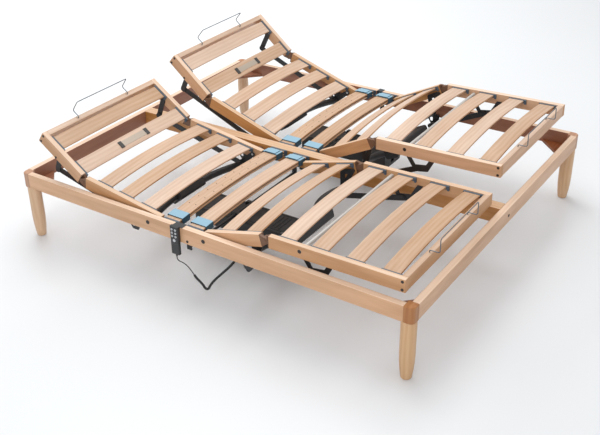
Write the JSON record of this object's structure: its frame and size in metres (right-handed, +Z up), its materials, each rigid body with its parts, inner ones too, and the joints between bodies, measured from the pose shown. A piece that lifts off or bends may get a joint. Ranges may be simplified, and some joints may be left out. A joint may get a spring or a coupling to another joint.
{
  "type": "adjustable bed base",
  "caption": "Double slatted bed base with two independent lounges: hinged back, head, thigh and leg sections raised by steel bows over a beech frame on turned legs.",
  "frame": {"origin": "on the floor under the middle of the outer frame", "axes": "+Z up, +Y from the foot end to the head end, +X from the handset's side rail across the bed"},
  "size_m": [1.6404, 1.9032, 0.6769],
  "materials": {
    "beech_frame": "satin",
    "beech_posts": "satin",
    "beech_legs": "satin",
    "beech_slats": "satin",
    "beech_lounge": "satin",
    "fitting_plastic": "matte",
    "bolt_steel": "satin",
    "drive_plastic": "matte",
    "handset_plastic": "satin",
    "button_plastic": "satin",
    "cord_jacket": "matte",
    "hook_steel": "satin",
    "slider_plastic": "satin",
    "linkage_steel": "satin"
  },
  "bodies": {
    "frame": {"side_rails": "beech_frame", "end_rails": "beech_frame", "centre_beam": "beech_frame", "corner_posts": "beech_posts", "legs": "beech_legs", "corner_plates": "beech_frame", "fixed_slats": "beech_slats", "frame_fittings": "fitting_plastic", "pivot_bolts": "bolt_steel", "drive_housings": "drive_plastic", "drive_covers": "drive_plastic", "drive_carriers": "linkage_steel", "link_brackets": "linkage_steel", "handset_case": "handset_plastic", "handset_hooks": "hook_steel", "handset_cord": "cord_jacket", "cord_sleeve": "cord_jacket"},
    "button_1": {"handset_button_1": "button_plastic"},
    "button_2": {"handset_button_2": "button_plastic"},
    "button_3": {"handset_button_3": "button_plastic"},
    "button_4": {"handset_button_4": "button_plastic"},
    "button_5": {"handset_button_5": "button_plastic"},
    "button_6": {"handset_button_6": "button_plastic"},
    "button_7": {"handset_button_7": "button_plastic"},
    "left_back": {"left_back_frame": "beech_lounge", "left_back_fittings": "fitting_plastic"},
    "left_head": {"left_head_frame": "beech_lounge", "left_head_fittings": "fitting_plastic", "left_head_hardware": "linkage_steel"},
    "left_crank": {"left_back_lift_bow": "linkage_steel"},
    "left_tilt_bars": {"left_head_tilt_bars": "linkage_steel"},
    "left_thigh": {"left_thigh_frame": "beech_lounge", "left_thigh_fittings": "fitting_plastic", "left_leg_lift_bow": "linkage_steel"},
    "left_leg": {"left_leg_frame": "beech_lounge", "left_leg_fittings": "fitting_plastic", "left_leg_hardware": "linkage_steel"},
    "left_support_bars": {"left_leg_support_bars": "linkage_steel"},
    "left_head_slider_outer": {"left_head_slider_outer": "slider_plastic"},
    "left_head_slider_inner": {"left_head_slider_inner": "slider_plastic"},
    "left_foot_slider_outer": {"left_foot_slider_outer": "slider_plastic"},
    "left_foot_slider_inner": {"left_foot_slider_inner": "slider_plastic"},
    "right_back": {"right_back_frame": "beech_lounge", "right_back_fittings": "fitting_plastic"},
    "right_head": {"right_head_frame": "beech_lounge", "right_head_fittings": "fitting_plastic", "right_head_hardware": "linkage_steel"},
    "right_crank": {"right_back_lift_bow": "linkage_steel"},
    "right_tilt_bars": {"right_head_tilt_bars": "linkage_steel"},
    "right_thigh": {"right_thigh_frame": "beech_lounge", "right_thigh_fittings": "fitting_plastic", "right_leg_lift_bow": "linkage_steel"},
    "right_leg": {"right_leg_frame": "beech_lounge", "right_leg_fittings": "fitting_plastic", "right_leg_hardware": "linkage_steel"},
    "right_support_bars": {"right_leg_support_bars": "linkage_steel"},
    "right_head_slider_outer": {"right_head_slider_outer": "slider_plastic"},
    "right_head_slider_inner": {"right_head_slider_inner": "slider_plastic"},
    "right_foot_slider_outer": {"right_foot_slider_outer": "slider_plastic"},
    "right_foot_slider_inner": {"right_foot_slider_inner": "slider_plastic"}
  },
  "joints": [
    {"name": "button_1_press", "type": "slide", "parent": "frame", "child": "button_1", "axis": [1, 0, 0], "range_m": [0, 0.0012], "stiffness_N_per_m": 400},
    {"name": "button_2_press", "type": "slide", "parent": "frame", "child": "button_2", "axis": [1, 0, 0], "range_m": [0, 0.0012], "stiffness_N_per_m": 400},
    {"name": "button_3_press", "type": "slide", "parent": "frame", "child": "button_3", "axis": [1, 0, 0], "range_m": [0, 0.0012], "stiffness_N_per_m": 400},
    {"name": "button_4_press", "type": "slide", "parent": "frame", "child": "button_4", "axis": [1, 0, 0], "range_m": [0, 0.0012], "stiffness_N_per_m": 400},
    {"name": "button_5_press", "type": "slide", "parent": "frame", "child": "button_5", "axis": [1, 0, 0], "range_m": [0, 0.0012], "stiffness_N_per_m": 400},
    {"name": "button_6_press", "type": "slide", "parent": "frame", "child": "button_6", "axis": [1, 0, 0], "range_m": [0, 0.0012], "stiffness_N_per_m": 400},
    {"name": "button_7_press", "type": "slide", "parent": "frame", "child": "button_7", "axis": [1, 0, 0], "range_m": [0, 0.0012], "stiffness_N_per_m": 400},
    {"name": "left_back_lift", "type": "hinge", "parent": "frame", "child": "left_back", "pos_m": [-0.418, 0.225, 0.2915], "axis": [1, 0, 0], "range_deg": [-8.8, 47.2]},
    {"name": "left_head_tilt", "type": "hinge", "parent": "left_back", "child": "left_head", "pos_m": [-0.418, 0.60744, 0.35071], "axis": [1, 0, 0], "range_deg": [-26.4, 0.6]},
    {"name": "left_crank_turn", "type": "hinge", "parent": "left_back", "child": "left_crank", "pos_m": [-0.418, 0.225, 0.2915], "axis": [1, 0, 0], "range_deg": [-20.1, 0.75]},
    {"name": "left_tilt_bar_swing", "type": "hinge", "parent": "left_head", "child": "left_tilt_bars", "pos_m": [-0.418, 0.77804, 0.35296], "axis": [1, 0, 0], "range_deg": [-0.76, 20.36]},
    {"name": "left_thigh_lift", "type": "hinge", "parent": "frame", "child": "left_thigh", "pos_m": [-0.418, -0.055, 0.2915], "axis": [-1, 0, 0], "range_deg": [-15.2, 19.8]},
    {"name": "left_leg_tilt", "type": "hinge", "parent": "left_thigh", "child": "left_leg", "pos_m": [-0.418, -0.32038, 0.3636], "axis": [-1, 0, 0], "range_deg": [-19.01, 14.66]},
    {"name": "left_support_bar_swing", "type": "hinge", "parent": "frame", "child": "left_support_bars", "pos_m": [-0.418, -0.2437, 0.2146], "axis": [-1, 0, 0], "range_deg": [-15.01, 19.46]},
    {"name": "left_head_slider_outer_slide", "type": "slide", "parent": "frame", "child": "left_head_slider_outer", "axis": [0.9976, 0, 0.0693], "range_m": [-0.008, 0.1103]},
    {"name": "left_head_slider_inner_slide", "type": "slide", "parent": "frame", "child": "left_head_slider_inner", "axis": [-0.9976, 0, 0.0693], "range_m": [-0.008, 0.1103]},
    {"name": "left_foot_slider_outer_slide", "type": "slide", "parent": "frame", "child": "left_foot_slider_outer", "axis": [0.9976, 0, 0.0693], "range_m": [-0.008, 0.1103]},
    {"name": "left_foot_slider_inner_slide", "type": "slide", "parent": "frame", "child": "left_foot_slider_inner", "axis": [-0.9976, 0, 0.0693], "range_m": [-0.008, 0.1103]},
    {"name": "right_back_lift", "type": "hinge", "parent": "frame", "child": "right_back", "pos_m": [0.418, 0.225, 0.2915], "axis": [1, 0, 0], "range_deg": [-18.6, 27.4]},
    {"name": "right_head_tilt", "type": "hinge", "parent": "right_back", "child": "right_head", "pos_m": [0.418, 0.59179, 0.41494], "axis": [1, 0, 0], "range_deg": [-21.4, 5.6]},
    {"name": "right_crank_turn", "type": "hinge", "parent": "right_back", "child": "right_crank", "pos_m": [0.418, 0.225, 0.2915], "axis": [1, 0, 0], "range_deg": [-17.31, 4.75]},
    {"name": "right_tilt_bar_swing", "type": "hinge", "parent": "right_head", "child": "right_tilt_bars", "pos_m": [0.418, 0.7616, 0.43145], "axis": [1, 0, 0], "range_deg": [-4.56, 16.56]},
    {"name": "right_thigh_lift", "type": "hinge", "parent": "frame", "child": "right_thigh", "pos_m": [0.418, -0.055, 0.2915], "axis": [-1, 0, 0], "range_deg": [-26.9, 8.1]},
    {"name": "right_leg_tilt", "type": "hinge", "parent": "right_thigh", "child": "right_leg", "pos_m": [0.418, -0.30024, 0.41592], "axis": [-1, 0, 0], "range_deg": [-7.95, 25.72]},
    {"name": "right_support_bar_swing", "type": "hinge", "parent": "frame", "child": "right_support_bars", "pos_m": [0.418, -0.2437, 0.2146], "axis": [-1, 0, 0], "range_deg": [-26.33, 8.14]},
    {"name": "right_head_slider_outer_slide", "type": "slide", "parent": "frame", "child": "right_head_slider_outer", "axis": [-0.9976, 0, 0.0693], "range_m": [-0.008, 0.1103]},
    {"name": "right_head_slider_inner_slide", "type": "slide", "parent": "frame", "child": "right_head_slider_inner", "axis": [0.9976, 0, 0.0693], "range_m": [-0.008, 0.1103]},
    {"name": "right_foot_slider_outer_slide", "type": "slide", "parent": "frame", "child": "right_foot_slider_outer", "axis": [-0.9976, 0, 0.0693], "range_m": [-0.008, 0.1103]},
    {"name": "right_foot_slider_inner_slide", "type": "slide", "parent": "frame", "child": "right_foot_slider_inner", "axis": [0.9976, 0, 0.0693], "range_m": [-0.008, 0.1103]}
  ],
  "couplings": [
    {"joint": "left_crank_turn", "follows": "left_head_tilt", "ratio": 0.75},
    {"joint": "left_tilt_bar_swing", "follows": "left_head_tilt", "ratio": -0.76},
    {"joint": "left_leg_tilt", "follows": "left_thigh_lift", "ratio": -0.945},
    {"joint": "left_support_bar_swing", "follows": "left_thigh_lift", "ratio": 0.9675},
    {"joint": "right_crank_turn", "follows": "right_head_tilt", "ratio": 0.795},
    {"joint": "right_tilt_bar_swing", "follows": "right_head_tilt", "ratio": -0.76},
    {"joint": "right_leg_tilt", "follows": "right_thigh_lift", "ratio": -0.945},
    {"joint": "right_support_bar_swing", "follows": "right_thigh_lift", "ratio": 0.9675}
  ]
}
